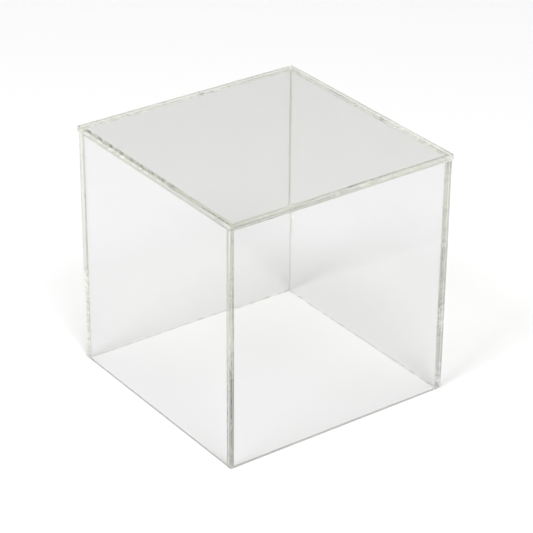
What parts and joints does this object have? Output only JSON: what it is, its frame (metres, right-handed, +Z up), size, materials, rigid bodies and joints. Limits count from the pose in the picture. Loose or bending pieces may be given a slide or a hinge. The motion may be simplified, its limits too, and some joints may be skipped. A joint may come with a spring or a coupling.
{
  "type": "acrylic display cube",
  "caption": "Clear acrylic display cube, open underneath: an oversize top panel cemented onto upright walls with butt joints. Stands over an exhibit as a dust cover or plinth.",
  "frame": {"origin": "centre of the square foot, on the surface the walls stand on", "axes": "+Z up through the top panel; -Y is the front, across one of the two full-width walls; +X to the right seen from the front"},
  "size_m": [0.2048, 0.2048, 0.205],
  "materials": {
    "clear_acrylic": "polished clear cast acrylic with a faint yellow-green tint along the cut edges",
    "solvent_cement": "thin film of clear acrylic cement with small trapped bubbles"
  },
  "bodies": {
    "root": {"top_panel": "clear_acrylic", "front_wall": "clear_acrylic", "back_wall": "clear_acrylic", "left_wall": "clear_acrylic", "right_wall": "clear_acrylic", "front_left_seam": "solvent_cement", "front_right_seam": "solvent_cement", "back_left_seam": "solvent_cement", "back_right_seam": "solvent_cement", "front_top_seam": "solvent_cement", "back_top_seam": "solvent_cement", "left_top_seam": "solvent_cement", "right_top_seam": "solvent_cement"}
  },
  "joints": []
}
